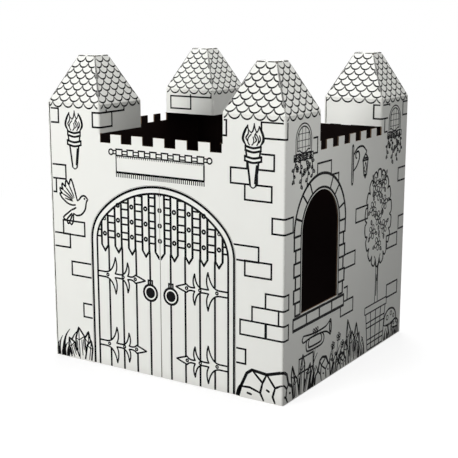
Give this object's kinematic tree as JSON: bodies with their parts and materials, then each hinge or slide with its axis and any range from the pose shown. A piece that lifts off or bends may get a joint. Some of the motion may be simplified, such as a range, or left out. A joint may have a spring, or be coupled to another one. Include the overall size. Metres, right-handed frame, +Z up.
{
  "type": "cardboard castle",
  "caption": "Folded white cardboard play castle with battlements, square corner towers, arched side windows, an arched double door and black line print.",
  "frame": {"origin": "on the floor, in the middle of the plan", "axes": "+Z up, the front wall with the door faces -Y, the wall with the window at the viewer's right faces +X"},
  "size_m": [0.8606, 0.8406, 0.979],
  "materials": {
    "board": "matt white liner on corrugated board",
    "ink": "matt black ink"
  },
  "bodies": {
    "castle": {"front_right_sheet": "board", "back_left_sheet": "board", "front_print": "ink", "right_print": "ink", "back_print": "ink", "left_print": "ink", "front_left_roof_print": "ink", "front_right_roof_print": "ink", "back_left_roof_print": "ink", "back_right_roof_print": "ink"},
    "left_leaf": {"left_door_leaf": "board", "left_leaf_print": "ink"},
    "right_leaf": {"right_door_leaf": "board", "right_leaf_print": "ink"}
  },
  "joints": [
    {"name": "left_leaf_crease", "type": "hinge", "parent": "castle", "child": "left_leaf", "pos_m": [-0.27, -0.42, 0.2], "axis": [0, 0, -1], "range_deg": [0, 120]},
    {"name": "right_leaf_crease", "type": "hinge", "parent": "castle", "child": "right_leaf", "pos_m": [0.27, -0.42, 0.2], "axis": [0, 0, 1], "range_deg": [0, 120]}
  ]
}
